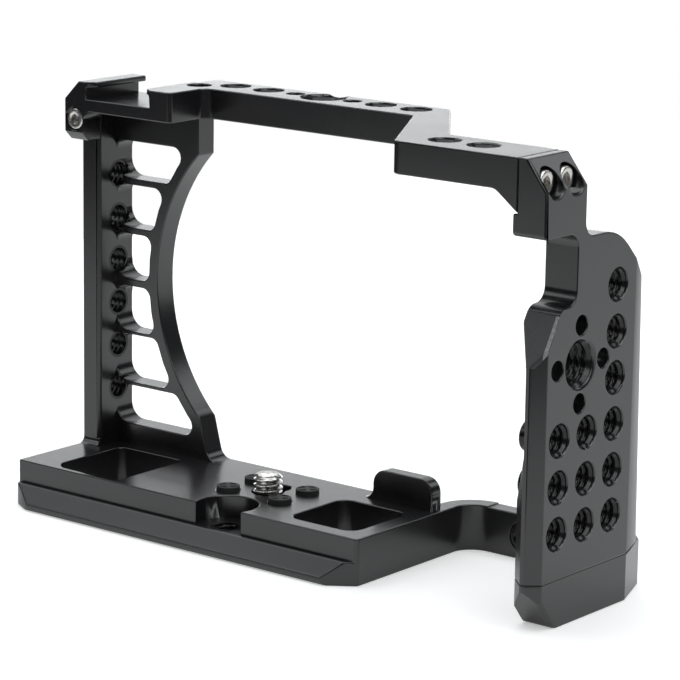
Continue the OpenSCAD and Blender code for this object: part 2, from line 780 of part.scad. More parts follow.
place() base_frame();
place() top_rail();
place() side_plate();
place() ear_screw();
place() web_screw();
place() neck_screw(neck_screw_y0);  // neck_screw_rear
place() neck_screw(neck_screw_y1);  // neck_screw_front
place() foot_screw(foot_screw_y0);  // foot_screw_rear
place() foot_screw(foot_screw_y1);  // foot_screw_front
place() camera_screw();
place() slide_washer();
place() pad(0);  // pad_rear_left
place() pad(1);  // pad_front_left
place() pad(2);  // pad_rear_right
place() pad(3);  // pad_front_right
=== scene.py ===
"""Camera cage: the looks of the machined frame, its threads, screws and pads, in metres."""
import json
import math

import bmesh
import bpy
import numpy as np
from mathutils import Matrix, Vector


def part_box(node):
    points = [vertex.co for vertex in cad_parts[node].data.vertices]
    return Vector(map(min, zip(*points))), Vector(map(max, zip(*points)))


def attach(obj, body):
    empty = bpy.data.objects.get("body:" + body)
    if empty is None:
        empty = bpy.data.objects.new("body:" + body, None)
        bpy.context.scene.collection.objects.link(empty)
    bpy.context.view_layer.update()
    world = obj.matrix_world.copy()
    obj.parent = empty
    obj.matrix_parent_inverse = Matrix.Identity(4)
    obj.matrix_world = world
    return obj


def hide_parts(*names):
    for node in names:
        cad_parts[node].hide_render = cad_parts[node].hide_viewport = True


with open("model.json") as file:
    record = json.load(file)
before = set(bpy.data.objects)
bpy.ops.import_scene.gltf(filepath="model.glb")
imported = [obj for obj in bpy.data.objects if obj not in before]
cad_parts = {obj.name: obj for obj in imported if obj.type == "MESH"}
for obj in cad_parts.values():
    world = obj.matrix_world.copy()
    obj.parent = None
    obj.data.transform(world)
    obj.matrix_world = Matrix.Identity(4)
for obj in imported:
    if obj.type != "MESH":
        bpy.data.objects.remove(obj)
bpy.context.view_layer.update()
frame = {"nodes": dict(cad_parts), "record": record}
MM = 0.001


# Anodised aluminium
# The base with its pillar, the top rail and the side plate are milled from aluminium
# plate, bead-blasted and dyed black. Their edges are broken by a fine chamfer, and
# tapped holes are cut into them.

class Wave:
    """A node's output, so that shader maths reads as Python; each operator adds one Math node."""

    def __init__(self, finish, socket):
        self.finish, self.socket = finish, socket

    def _math(self, operation, first, second):
        return self.finish.node("Math", {0: first, 1: second}, operation=operation)

    def __add__(self, other):
        return self._math("ADD", self, other)

    def __sub__(self, other):
        return self._math("SUBTRACT", self, other)

    def __rsub__(self, other):
        return self._math("SUBTRACT", other, self)

    def __mul__(self, other):
        return self._math("MULTIPLY", self, other)

    def __gt__(self, other):
        return self._math("GREATER_THAN", self, other)

    __radd__, __rmul__ = __add__, __mul__


class Finish:
    """A material; node() adds any node, its settings first and then what its sockets take."""

    MIX_LOW, MIX_HIGH, MIX_RESULT = 6, 7, 2

    def __init__(self, name):
        self.material = bpy.data.materials.new(name)
        self.material.use_nodes = True
        self.tree = self.material.node_tree
        self.shader = self.tree.nodes["Principled BSDF"]
        self.place = self.node("TexCoord", output="Object")

    def node(self, kind, sockets=None, output=0, **settings):
        made = self.tree.nodes.new("ShaderNode" + kind)
        for name, value in settings.items():
            setattr(made, name, value)
        for name, value in (sockets or {}).items():
            self.feed(made.inputs[name], value)
        return Wave(self, made.outputs[output])

    def feed(self, socket, value):
        if isinstance(value, Wave):
            self.tree.links.new(value.socket, socket)
        else:
            socket.default_value = value

    def surface(self, **sockets):
        """Sets or links the shader's sockets; a socket's name has _ for each space."""
        for name, value in sockets.items():
            self.feed(self.shader.inputs[name.replace("_", " ")], value)
        return self.material

    def noise(self, size, detail=3):
        """Noise whose grains are about size metres across, between 0 and 1."""
        return self.node("TexNoise", {"Vector": self.place, "Scale": 1 / size, "Detail": detail})

    def mix(self, amount, low, high):
        """Colour between low and high, each a colour or another node's output.

        The Mix node's colour sockets go by number, because its number sockets share their names.
        """
        low, high = (end if isinstance(end, Wave) else (*end, 1) for end in (low, high))
        sockets = {"Factor": amount, self.MIX_LOW: low, self.MIX_HIGH: high}
        return self.node("Mix", sockets, output=self.MIX_RESULT, data_type="RGBA")

    def bump(self, height, depth, strength):
        """Normal of a surface raised by height times depth, in metres."""
        return self.node("Bump", {"Height": height, "Distance": depth, "Strength": strength})


DYE_PATCH, BLAST_GRAIN = 14 * MM, 0.35 * MM
DYE_DEEP, DYE_PALE, BARE_METAL = (0.006, 0.006, 0.0068), (0.011, 0.011, 0.0122), (0.3, 0.3, 0.31)
PATCH_ROUGH, GRAIN_ROUGH, MILLED_ROUGH = 0.08, 0.06, 0.26
# The third value is how far the slope's stripe turns to bare metal: a painted highlight.
MILLED_DEPTH, MILLED_BARE, STRIPE_HIGHLIGHT, BLAST_STRENGTH = 0.07 * MM, 0.12, 1.5, 0.6


def anodised(name, grain, matt, milled=None, index=1.68):
    """Black anodised finish; grain is the bump's depth in metres, matt the mean roughness.

    The dye's colour and roughness vary in broad patches, the blasted grain in fine ones.
    milled takes the finish and gives two masks: where a cutter left the metal rough, and
    where a stripe is lightened towards bare metal as a painted highlight for light on its edge.
    """
    finish = Finish(name)
    broad, fine = finish.noise(DYE_PATCH), finish.noise(BLAST_GRAIN, detail=2)
    base = finish.mix(broad, DYE_DEEP, DYE_PALE)
    mean = (PATCH_ROUGH + GRAIN_ROUGH) / 2
    rough, height, depth = broad * PATCH_ROUGH + fine * GRAIN_ROUGH + (matt - mean), fine, grain
    if milled:
        there, painted_highlight = milled(finish)
        # The slope's stripe is lightened towards bare metal as a painted highlight, not wear.
        base = finish.mix(painted_highlight * fine * STRIPE_HIGHLIGHT + there * fine * MILLED_BARE, base, BARE_METAL)
        rough, depth = rough + there * MILLED_ROUGH, MILLED_DEPTH
        height = fine * (there * (1 - grain / depth) + grain / depth)
    return finish.surface(Base_Color=base, Roughness=rough, IOR=index,
                          Normal=finish.bump(height, depth, BLAST_STRENGTH))


BLACK = anodised("black_anodised", 0.004 * MM, 0.24)


def in_scene(name, data):
    """A new object of a mesh, lamp or camera, at the origin."""
    made = bpy.data.objects.new(name, data)
    bpy.context.scene.collection.objects.link(made)
    return made


MERGE = 0.0005 * MM
FLAT_WITHIN = math.radians(0.4)


def merged_copy(node, name):
    """A CAD node's mesh as one closed shell, with its flat faces whole."""
    shell = bmesh.new()
    shell.from_mesh(frame["nodes"][node].data)
    bmesh.ops.remove_doubles(shell, verts=shell.verts, dist=MERGE)
    bmesh.ops.dissolve_limit(shell, angle_limit=FLAT_WITHIN, verts=shell.verts, edges=shell.edges)
    mesh = bpy.data.meshes.new(name)
    shell.to_mesh(mesh)
    shell.free()
    return in_scene(name, mesh)


def settle(piece):
    """Applies the piece's modifiers."""
    graph = bpy.context.evaluated_depsgraph_get()
    mesh = bpy.data.meshes.new_from_object(piece.evaluated_get(graph))
    piece.modifiers.clear()
    piece.data = mesh


def mesh_values(items, name, width=1, kind=float):
    """One value of a mesh's items as an array, with a row for each item if width is above 1."""
    values = np.empty(len(items) * width, kind)
    items.foreach_get(name, values)
    return values.reshape(-1, width) if width > 1 else values


# A chamfer goes on outer edges sharper than SHARP, and on long ones sharper than BENT. It has
# CHAMFER_STEPS faces, and takes at most FACE_SHARE of the narrower face beside it.
SHARP, BENT, LONG = math.radians(50), math.radians(30), 2 * MM
FACE_SHARE, CHAMFER_STEPS = 0.4, 2


def chamfer_edges(piece, width, places=()):
    """Breaks sharp outer edges, and keeps the piece inside the box that it had.

    places lists (low corner, high corner, width): edges that end in such a box get its width.
    """
    shell = bmesh.new()
    shell.from_mesh(piece.data)
    ends = np.array([[edge.verts[0].co, edge.verts[1].co] for edge in shell.edges])
    wanted = np.full(len(ends), float(width))
    for low, high, other in places:
        wanted[((ends > low) & (ends < high)).all((1, 2))] = other
    for k, edge in enumerate(shell.edges):
        angle = edge.calc_face_angle(0) if edge.is_manifold and edge.is_convex else 0
        if angle > SHARP or angle > BENT and edge.calc_length() > LONG:
            across = min(face.calc_area() for face in edge.link_faces) / edge.calc_length()
            wanted[k] = min(wanted[k], FACE_SHARE * across)
        else:
            wanted[k] = 0
    shell.free()
    weight = piece.data.attributes.new("bevel_weight_edge", "FLOAT", "EDGE")
    weight.data.foreach_set("value", wanted / wanted.max())
    bevel = piece.modifiers.new("chamfer", "BEVEL")
    bevel.limit_method, bevel.width, bevel.segments = "WEIGHT", wanted.max(), CHAMFER_STEPS
    bevel.use_clamp_overlap = False
    before = mesh_values(piece.data.vertices, "co", 3)
    settle(piece)
    after = np.clip(mesh_values(piece.data.vertices, "co", 3), before.min(0), before.max(0))
    piece.data.vertices.foreach_set("co", after.ravel())


def cut(piece, cutter):
    """Takes the cutter's solid out of the piece, and the cutter out of the scene."""
    knife = piece.modifiers.new("cut", "BOOLEAN")
    knife.object, knife.solver = cutter, "MANIFOLD"
    settle(piece)
    bpy.data.objects.remove(cutter)


# Polygons lie in one plane if their normals times NORMAL_STEPS and their distances over
# PLANE_STEP round to the same. Their plane is a flat face from FLAT_AREA on, and every
# polygon belongs to it that lies within FLAT_PLAY of it and doesn't face the other way.
CREASE, NORMAL_STEPS, PLANE_STEP = math.radians(40), 500, 0.01 * MM
FLAT_AREA, FLAT_PLAY, TURNED_AWAY = 20 * MM * MM, 0.03 * MM, -0.5


def even_shading(piece):
    """Smooth shading in which a large flat face keeps its own normal up to its edges."""
    piece.data.shade_smooth()
    piece.data.set_sharp_from_angle(angle=CREASE)
    even = piece.modifiers.new("flat_faces", "WEIGHTED_NORMAL")
    even.keep_sharp, even.mode = True, "FACE_AREA_WITH_ANGLE"
    settle(piece)
    mesh = piece.data
    normal, centre = mesh_values(mesh.polygons, "normal", 3), mesh_values(mesh.polygons, "center", 3)
    area, corners = mesh_values(mesh.polygons, "area"), mesh_values(mesh.polygons, "loop_total", kind=int)
    at = mesh_values(mesh.vertices, "co", 3)[mesh_values(mesh.loops, "vertex_index", kind=int)]
    owner = np.repeat(np.arange(len(area)), corners)
    shown = mesh_values(mesh.corner_normals, "vector", 3)
    plane = np.round(np.c_[normal * NORMAL_STEPS, (normal * centre).sum(1) / PLANE_STEP])
    _, first, member = np.unique(plane, axis=0, return_index=True, return_inverse=True)
    for k in first[np.bincount(member.ravel(), area) > FLAT_AREA]:
        away = np.abs((at - centre[k]) @ normal[k]) > FLAT_PLAY
        flat = (np.bincount(owner, away) == 0) & (normal @ normal[k] > TURNED_AWAY)
        shown[flat[owner]] = normal[k]
    mesh.normals_split_custom_set(shown.tolist())


def machined(piece, node, finish):
    """Finishes a milled piece: even shading, its material and the CAD node that it stands for."""
    even_shading(piece)
    piece.data.materials.clear()
    piece.data.materials.append(finish)
    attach(piece, "frame")
    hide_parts(node)


# Tapped holes
# The accessory holes are tapped: a countersink, then a helical groove that runs down the
# wall. Each thread is a closed sleeve that fills a hole opened to the groove's bottom.
# In mm, by the radius of the hole's wall: the thread's pitch, its groove's depth, and the
# countersink's rim. The groove has PLAY to the drilled hole, the sleeve's ends and outside lie
# SEAT inside the metal, and the groove fades over CUT_IN and RUN_OUT. The drill starts ABOVE the
# face and goes THROUGH beyond the hole's depth.
INCH = 25.4
QUARTER, THREE_EIGHTHS = 2.6, 4.0
PITCH = {QUARTER: INCH / 20, THREE_EIGHTHS: INCH / 16}
GROOVE = {QUARTER: 0.52, THREE_EIGHTHS: 0.68}
RIM = {QUARTER: 3.6, THREE_EIGHTHS: 5.4}
PLAY, CUT_IN, RUN_OUT, SEAT, THROUGH, ABOVE = 0.05, 0.5, 0.8, 0.02, 0.5, 1.0
CREST, FLANK = 1.25, 3.4
HOLE_COLUMNS, PITCH_ROWS = 48, 12
ROUND_CREASE = math.radians(38)
TAPPED = anodised("black_anodised_threads", 0.002 * MM, 0.2, index=1.42)


def turns(columns):
    """Angles of the columns of a grid that closes on itself."""
    return np.linspace(0, 2 * np.pi, columns, endpoint=False)


def axes_of(axis):
    """Two unit vectors square to axis, and axis itself, as rows."""
    out = np.asarray(axis, float)
    side = np.cross(out, (0, 0, 1) if abs(out[2]) < 0.5 else (1, 0, 0))
    side /= np.linalg.norm(side)
    return np.array([side, np.cross(out, side), out])


def revolved(centre, turn, radius, height, axes=np.eye(3)):
    """Points round the last of three axes, from a radius and a height in mm for each row."""
    rows = np.broadcast_arrays(radius * np.cos(turn), radius * np.sin(turn), height)
    return np.asarray(centre) + np.stack(rows, -1).reshape(-1, 3) * MM @ axes


def grid_faces(rows, columns, wrap_rows=False):
    """Quads of a grid whose columns close on themselves, and whose rows do if asked."""
    last = rows if wrap_rows else rows - 1
    row, column = np.meshgrid(np.arange(last), np.arange(columns), indexing="ij")
    under, beside = (row + 1) % rows * columns, (column + 1) % columns
    here = row * columns
    return np.stack([here + column, here + beside, under + beside, under + column], -1).reshape(-1, 4)


def new_piece(name, shells, material):
    """A piece from a list of (points, faces)."""
    start = np.cumsum([0] + [len(points) for points, _ in shells])
    mesh = bpy.data.meshes.new(name)
    points = np.concatenate([points for points, _ in shells])
    faces = np.concatenate([group + first for (_, group), first in zip(shells, start)])
    mesh.from_pydata(points.tolist(), [], faces.tolist())
    mesh.shade_smooth()
    mesh.set_sharp_from_angle(angle=ROUND_CREASE)
    mesh.materials.append(material)
    return in_scene(name, mesh)


def closed(piece):
    """Merges the points at the poles of a piece turned about an axis, and points its faces out."""
    shell = bmesh.new()
    shell.from_mesh(piece.data)
    bmesh.ops.remove_doubles(shell, verts=shell.verts, dist=MERGE)
    bmesh.ops.recalc_face_normals(shell, faces=shell.faces)
    shell.to_mesh(piece.data)
    shell.free()
    return piece


def ridge(phase):
    """Height of a thread's ridge, between 0 and 1, at a phase of its pitch.

    It is CREST less FLANK times the distance from the ridge's middle: flat top, straight flanks.
    """
    return np.clip(CREST - FLANK * np.abs(phase % 1 - 0.5), 0, 1)


def sleeve(centre, axis, wall, depth, rim):
    """Threaded sleeve down to a depth in mm, from where the rim's countersink meets its outside.

    Its inner radius is the wall's plus the groove's depth where the ridge is low, the ridge's
    phase being depth over pitch less the turn; the groove starts below the countersink's cone
    and fades out before the far end.
    """
    turn = turns(HOLE_COLUMNS)
    outer = wall + GROOVE[wall] + PLAY
    mouth = max(rim - outer, SEAT)
    down = np.linspace(mouth, depth, int(depth / PITCH[wall] * PITCH_ROWS))[:, None]
    there = np.clip((down - (rim - wall)) / CUT_IN, 0, 1) * np.clip((depth - down) / RUN_OUT, 0, 1)
    groove = wall + there * GROOVE[wall] * (1 - ridge(down / PITCH[wall] - turn / (2 * np.pi)))
    inner = np.minimum(np.maximum(groove, rim - down), outer)
    radius = np.vstack([inner, np.full((2, len(turn)), outer + SEAT)])
    height = -np.vstack([down, [[depth]], [[mouth]]])
    points = revolved(centre, turn, radius, height, axes_of(axis))
    return points, grid_faces(len(radius), len(turn), wrap_rows=True)[:, ::-1]


def drill(holes):
    """Cylinders that open the holes to the bottom of their grooves, as one cutter."""
    turn, shells = turns(HOLE_COLUMNS), []
    for centre, axis, wall, depth in holes:
        radius = np.array([[0], [1], [1], [0]]) * (wall + GROOVE[wall] + PLAY)
        height = np.array([[ABOVE], [ABOVE], [-depth - THROUGH], [-depth - THROUGH]])
        shells.append((revolved(centre, turn, radius, height, axes_of(axis)), grid_faces(4, len(turn))))
    return closed(new_piece("drill", shells, BLACK))


def tapped(prefix, across, face, depth):
    """(centre, axis, wall radius, depth) of the record's tapped holes whose names have a prefix.

    Each centre is moved along the axis of number across onto the face, which is in metres.
    """
    found = []
    for mount in frame["record"]["mounts"]:
        dims, axis = mount["dims"], np.array(mount["axis"], float)
        wall = dims.get("r_mm", dims.get("hole_r_mm"))
        if not mount["name"].startswith(prefix) or wall not in PITCH or mount["kind"] == "pin":
            continue
        spans = np.array([dims.get("spacing_x_mm", 0), dims.get("spacing_y_mm", 0)]) * MM / 2
        flat = np.eye(3)[np.abs(axis) < 0.5]
        for sign in {(a * bool(spans[0]), b * bool(spans[1])) for a in (-1, 1) for b in (-1, 1)}:
            centre = np.array(mount["pos_m"]) + (np.array(sign) * spans) @ flat
            centre[across] = face
            found.append((centre, axis, wall, depth))
    return found


EDGE = 0.3


def tapped_piece(node, name, holes, places=(), finish=BLACK, rims=RIM):
    """A milled node with its holes opened, and the sleeves that thread them as one more piece."""
    piece = merged_copy(node, name)
    chamfer_edges(piece, EDGE * MM, places)
    cut(piece, drill(holes))
    threads = new_piece(name + "_threads", [sleeve(*hole, rims[hole[2]]) for hole in holes], TAPPED)
    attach(threads, "frame")
    machined(piece, node, finish)


NEAR = 0.15


def edges_between(low, high, width):
    """A place for chamfer_edges, from the two ends of its edges and a width, in mm."""
    return (Vector(low) - Vector([NEAR] * 3)) * MM, (Vector(high) + Vector([NEAR] * 3)) * MM, width * MM


# Side plate
# The plate stands on the foot and is screwed to it from below. Its outer face carries a
# grid of tapped holes, its rear edge comes to a milled point.
plate_low, plate_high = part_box("side_plate")
OUTER_X, REAR_Y, TOP_Z = plate_high.x / MM, plate_low.y / MM, plate_high.z / MM
PLATE_T, CROWN_T = 7.5, 5.0
plate_holes = tapped("plate_grid", 0, plate_high.x, PLATE_T)
plate_holes += tapped("plate_big", 0, plate_high.x, PLATE_T)
plate_holes += tapped("plate_upper", 0, plate_high.x, CROWN_T)

# The neck's rear edges are broken wider, those round the slope and the shelf above it not at
# all. The slope rises from its low end; a stripe beside the outer face carries a painted highlight.
NECK_LOW_Z, NECK_BEND_Z, NECK_TOP_X = 80.1, 88.65, 67.25
SLOPE_RUN, SLOPE_RISE, SLOPE_LOW_Z, SLOPE_TOP_Z = 6.4, 10.9, 54.1, 63.7
SLOPE_INNER, SLOPE_FACE_X, STRIPE_X, SLOPE_MARGIN = (64.1, 53.15), 71.95, 71.2, (0.1, 0.5, 0.2)
SHELF_LOW, SHELF_HIGH = (-18.4, 62.1), (-14.6, 65.9)


def on_slope(finish):
    """Masks of the rough slope with a margin, and of its stripe of painted highlight; level is the height
    over it.
    """
    x, y, z = (finish.node("SeparateXYZ", {0: finish.place}, output=k) for k in range(3))
    tilt = math.atan2(SLOPE_RUN, SLOPE_RISE)
    across, up = math.cos(tilt), math.sin(tilt)
    inside, under, beside = SLOPE_MARGIN
    level = z * up - y * across
    there = level > (SLOPE_LOW_Z * up - REAR_Y * across - under) * MM
    there = there * (z > (SLOPE_LOW_Z - beside) * MM) * (x > (SLOPE_INNER[0] - inside) * MM)
    there = there * (1 - (x > SLOPE_FACE_X * MM)) * (1 - (z > SLOPE_TOP_Z * MM))
    # The second mask, the stripe by the outer face, carries a painted highlight.
    return there, there * (x > STRIPE_X * MM)


plate_edges = [
    edges_between((OUTER_X, REAR_Y, NECK_LOW_Z), (OUTER_X, REAR_Y, NECK_BEND_Z), 0.7),
    edges_between((NECK_TOP_X, REAR_Y, NECK_BEND_Z), (OUTER_X, REAR_Y, TOP_Z), 0.5),
    edges_between((SLOPE_INNER[0], REAR_Y, SLOPE_INNER[1]), (69.5, -17.5, 62.2), 0),
    edges_between((OUTER_X, *SHELF_LOW), (OUTER_X, *SHELF_HIGH), 0),
]
tapped_piece("side_plate", "grip_side_plate", plate_holes, plate_edges,
             anodised("black_anodised_plate", 0.004 * MM, 0.24, on_slope))

# Top rail
# The rail is milled as one stepped bar with the cold shoe in its left end. It lies on the
# pillar and the web, and butts against the neck of the side plate.
RAIL_T, EAR_WALL = 6.7, 1.85
rail_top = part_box("top_rail")[1].z
rail_holes = tapped("rail", 2, rail_top, RAIL_T) + tapped("rear_run", 2, rail_top, RAIL_T)
ear_low, ear_high = (Vector(corner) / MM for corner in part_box("ear_screw"))
ear_bore = edges_between(ear_low - Vector([EAR_WALL] * 3), ear_high + Vector([EAR_WALL] * 3), 0)
tapped_piece("top_rail", "top_rail_milled", rail_holes, [ear_bore])

# Base
# The base plate, the dovetail, the left pillar with its ladder web and the arm to the foot
# are one block of metal. The threads of its holes come up to the faces.
base_low, base_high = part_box("base_frame")
PILLAR_T, ARM_T, TAIL_H, BASE_H = 5.05, 4.2, 5.2, 10.2
FOOT_X, FOOT_UNDER_Y, FOOT_NOSE = 64.5, -15.45, (-20.15, 5.8)
NOTCH_X, NOTCH_Y = (-19.0, -6.6), -19.45
base_holes = tapped("side_pair", 0, base_low.x, PILLAR_T)
base_holes += tapped("arm_hole", 1, base_high.y - ARM_T * MM, ARM_T)
base_holes += [(centre, -axis, wall, depth)
               for centre, axis, wall, depth in tapped("bottom_hole", 2, TAIL_H * MM, TAIL_H)]
base_edges = [
    edges_between((OUTER_X, FOOT_NOSE[0], 0), (OUTER_X, FOOT_UNDER_Y, FOOT_NOSE[1]), 0.9),
    edges_between((FOOT_X, FOOT_UNDER_Y, 0), (OUTER_X, FOOT_UNDER_Y, 0), 0.9),
    edges_between((NOTCH_X[0], NOTCH_Y, TAIL_H), (NOTCH_X[1], NOTCH_Y, BASE_H), 0.9),
]
tapped_piece("base_frame", "base_milled", base_holes, base_edges, rims={QUARTER: QUARTER})

# Steel screws
# The frame screws are turned stainless steel socket screws; the camera screw has a
# nickel-plated thread that stands up through the keyhole.
LATHE_GRAIN, LATHE_DEPTH, LATHE_SHADE, LATHE_ROUGH, LATHE_STRENGTH = 0.12 * MM, 0.002 * MM, 0.86, 0.12, 0.4


def steel(name, tint, rough):
    """Turned metal of a tint, whose colour, roughness and bump follow one fine grain."""
    finish = Finish(name)
    fine = finish.noise(LATHE_GRAIN, detail=2)
    return finish.surface(
        Base_Color=finish.mix(fine, tint, tuple(LATHE_SHADE * part for part in tint)),
        Metallic=1.0,
        Roughness=fine * LATHE_ROUGH + (rough - LATHE_ROUGH / 2),
        Normal=finish.bump(fine, LATHE_DEPTH, LATHE_STRENGTH),
    )


STEEL = steel("turned_steel", (0.74, 0.72, 0.69), 0.26)
NICKEL = steel("nickel_plate", (0.66, 0.65, 0.63), 0.19)
TURNED_COLUMNS = 72
HEAD_D, HEAD_H, HEAD_R, HEAD_BREAK, SHANK_D, TIP_BREAK = 4.8, 2.5, 0.35, 0.1, 2.5, 0.3
KEY, KEY_DEPTH, KEY_POINT = 2.0, 1.4, 0.3
KEY_RIM = ((0.28, 0, 0), (0.12, -0.1, 0.6), (0, -0.25, 1))


def turned(centre, axis, profile, key):
    """Surface turned about an axis from (radius, height, hexagon share) rows, in mm.

    A row whose share is above 0 blends its circle towards a hexagon of the key's size: the
    radius is half the key over the cosine of the angle to the nearest flat.
    """
    turn = turns(TURNED_COLUMNS)
    rows = np.array(profile, float)
    radius, height, share = (rows[:, k, None] for k in range(3))
    hexagon = key / 2 / np.cos((turn + np.pi / 6) % (np.pi / 3) - np.pi / 6)
    radius = radius * (1 - share) + hexagon * share
    return revolved(centre, turn, radius, height, axes_of(axis)), grid_faces(len(rows), len(turn))


def socket_screw(node, axis):
    """A socket head screw in the place of its node; KEY_RIM's rows lead into the hexagon."""
    low, high = (np.array(corner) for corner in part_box(node))
    axis = np.array(axis, float)
    top = np.where(axis > 0, high, np.where(axis < 0, low, (low + high) / 2))
    length = abs((high - low) @ axis) / MM
    head, shank = HEAD_D / 2, SHANK_D / 2
    profile = [(0, -length, 0), (shank - TIP_BREAK, -length, 0), (shank, -length + TIP_BREAK, 0),
               (shank, -HEAD_H, 0), (head - HEAD_BREAK, -HEAD_H, 0), (head, -HEAD_H + HEAD_BREAK, 0)]
    profile += [(head - HEAD_R + HEAD_R * math.cos(angle), -HEAD_R + HEAD_R * math.sin(angle), 0)
                for angle in np.linspace(0, math.pi / 2, 5)]
    profile += [(KEY / 2 + out, height, share) for out, height, share in KEY_RIM]
    profile += [(KEY / 2, -KEY_DEPTH, 1), (0, -KEY_DEPTH - KEY_POINT, 0)]
    screw = closed(new_piece(node + "_turned", [turned(top, axis, profile, KEY)], STEEL))
    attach(screw, "frame")
    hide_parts(node)


for node, axis in {"ear_screw": (0, -1, 0), "web_screw": (0, 0, 1), "neck_screw_rear": (1, 0, 0),
                   "neck_screw_front": (1, 0, 0), "foot_screw_rear": (0, 0, -1),
                   "foot_screw_front": (0, 0, -1)}.items():
    socket_screw(node, axis)

# Camera screw and washer
# The camera screw's slotted head runs in a recess under the base on a nylon washer; its
# thread is cut with a short taper at the tip and a run-out above the neck.
STUD_D, STUD_UP, STUD_GROOVE, STUD_ROWS = 6.35, 3.9, 0.62, 60
TIP_IN, TIP_TAPER, NECK_TAPER, TIP_DISH, DISH_EDGE, DISH_FLAT = 0.75, 1.1, 2, 0.25, 1.0, 0.5
screw_low, screw_high = (np.array(corner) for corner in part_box("camera_screw"))
screw_axis = (screw_low + screw_high) / 2


def stud():
    """Threaded stud: its radius is its half width less the groove where the ridge is low.

    Two cones hold it: one that narrows up to the tip, and one that widens from the neck.
    """
    turn = turns(TURNED_COLUMNS)
    up = np.linspace(0, STUD_UP, STUD_ROWS)[:, None]
    radius = STUD_D / 2 - STUD_GROOVE * (1 - ridge(up / PITCH[QUARTER] - turn / (2 * np.pi)))
    radius = np.minimum(radius, STUD_D / 2 - TIP_IN + (STUD_UP - up) * TIP_TAPER)
    radius = np.minimum(radius, STUD_D / 2 - STUD_GROOVE + up * NECK_TAPER)
    tip = np.array([[STUD_D / 2 - DISH_EDGE], [DISH_FLAT], [0]]) + 0 * turn
    height = np.vstack([[[0]], up, [[STUD_UP], [STUD_UP], [STUD_UP - TIP_DISH]]])
    radius = np.vstack([0 * turn, radius, tip])
    foot = (*screw_axis[:2], screw_high[2] - STUD_UP * MM)
    return revolved(foot, turn, radius, height), grid_faces(len(radius), len(turn))


camera_screw = merged_copy("camera_screw", "camera_screw_turned")
thread = closed(new_piece("camera_screw_thread", [stud()], NICKEL))
camera_screw.data.materials.clear()
camera_screw.data.materials.append(NICKEL)
lower = bmesh.new()
lower.from_mesh(camera_screw.data)
bmesh.ops.bisect_plane(
    lower, geom=lower.verts[:] + lower.edges[:] + lower.faces[:], plane_no=(0, 0, 1), clear_outer=True,
    plane_co=(0, 0, screw_high[2] - (STUD_UP - SEAT) * MM))
bmesh.ops.holes_fill(lower, edges=lower.edges)
lower.to_mesh(camera_screw.data)
lower.free()
camera_screw.data.shade_smooth()
camera_screw.data.set_sharp_from_angle(angle=ROUND_CREASE)
for part in (camera_screw, thread):
    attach(part, "screw")
    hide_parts("camera_screw")

NYLON_DULL, NYLON_PALE = (0.72, 0.71, 0.66), (0.8, 0.79, 0.75)
nylon = Finish("white_nylon")
nylon.surface(Base_Color=nylon.mix(nylon.noise(2 * MM), NYLON_DULL, NYLON_PALE),
              Roughness=nylon.noise(1 * MM) * 0.1 + 0.45, Subsurface_Weight=0.1)
frame["nodes"]["slide_washer"].data.materials.clear()
frame["nodes"]["slide_washer"].data.materials.append(nylon.material)

# Rubber pads
# Four round moulded rubber pads are pressed into the base round the camera screw. Each has
# a raised rim and a raised cross.
PAD_D, PAD_RIB, PAD_RIM, PAD_DISH, PAD_SLOPE, PAD_EDGE = 5.1, 0.9, 0.45, 0.25, 0.14, 0.08
RIM_FALL, FALL_FROM = 0.5, 0.86
PAD_ROWS, PAD_COLUMNS = 30, 120
RUBBER_DARK, RUBBER_PALE = (0.012, 0.012, 0.012), (0.03, 0.03, 0.03)
rubber = Finish("black_rubber")
grit = rubber.noise(0.2 * MM)
rubber.surface(Base_Color=rubber.mix(grit, RUBBER_DARK, RUBBER_PALE), Roughness=grit * 0.15 + 0.62,
               Normal=rubber.bump(grit, 0.03 * MM, 0.6), IOR=1.45)


def pad(node):
    """Pad whose top is the rim's height, less the dish where neither the rim nor the cross is near.

    Beyond the share FALL_FROM of its radius the rim falls with the square of the distance.
    """
    low, high = (np.array(corner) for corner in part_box(node))
    turn, out, top = turns(PAD_COLUMNS), PAD_D / 2, (high[2] - low[2]) / MM
    reach = np.linspace(0, out - PAD_EDGE, PAD_ROWS)[:, None]
    x, y = reach * np.cos(turn + np.pi / 4), reach * np.sin(turn + np.pi / 4)
    off = np.minimum(np.minimum(np.abs(x), np.abs(y)) - PAD_RIB / 2, out - PAD_RIM - reach)
    fall = RIM_FALL * np.clip(reach / out - FALL_FROM, 0, 1) ** 2 / (1 - FALL_FROM)
    height = top - PAD_DISH * np.clip(off / PAD_SLOPE, 0, 1) - fall
    radius = np.vstack([reach, [[out], [out], [0]]])
    height = np.vstack([height, np.array([[top - PAD_EDGE], [0], [0]]) + 0 * turn])
    points = revolved((*(low + high)[:2] / 2, low[2]), turn, radius, height)
    made = closed(new_piece(node + "_moulded", [(points, grid_faces(len(radius), len(turn)))],
                            rubber.material))
    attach(made, "frame")
    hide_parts(node)


for corner in ("rear_left", "front_left", "rear_right", "front_right"):
    pad("pad_" + corner)

# Studio
# A white table in a dark room. The softboxes hang above and at both sides, stand in three
# rows behind at the left, and smaller ones stand low, behind and by the photographer.
TABLE_GLOW, PAPER_GLOW, TABLE_WHITE = 0.19, 0.22, (0.8, 0.8, 0.8, 1)
TABLE_CORNERS = [[-0.28, -0.54, 0], [2, 1.27, 0], [2, 4, 0], [-0.28, 4, 0]]
ROOM_TINT, ROOM_GLOW, PAPER_WHITE, LAMP_TINT = (0.9, 0.95, 1, 1), 0.05, (1, 1, 1, 1), (0.97, 0.99, 1)
AIM = Vector((0, 0, 0.05))


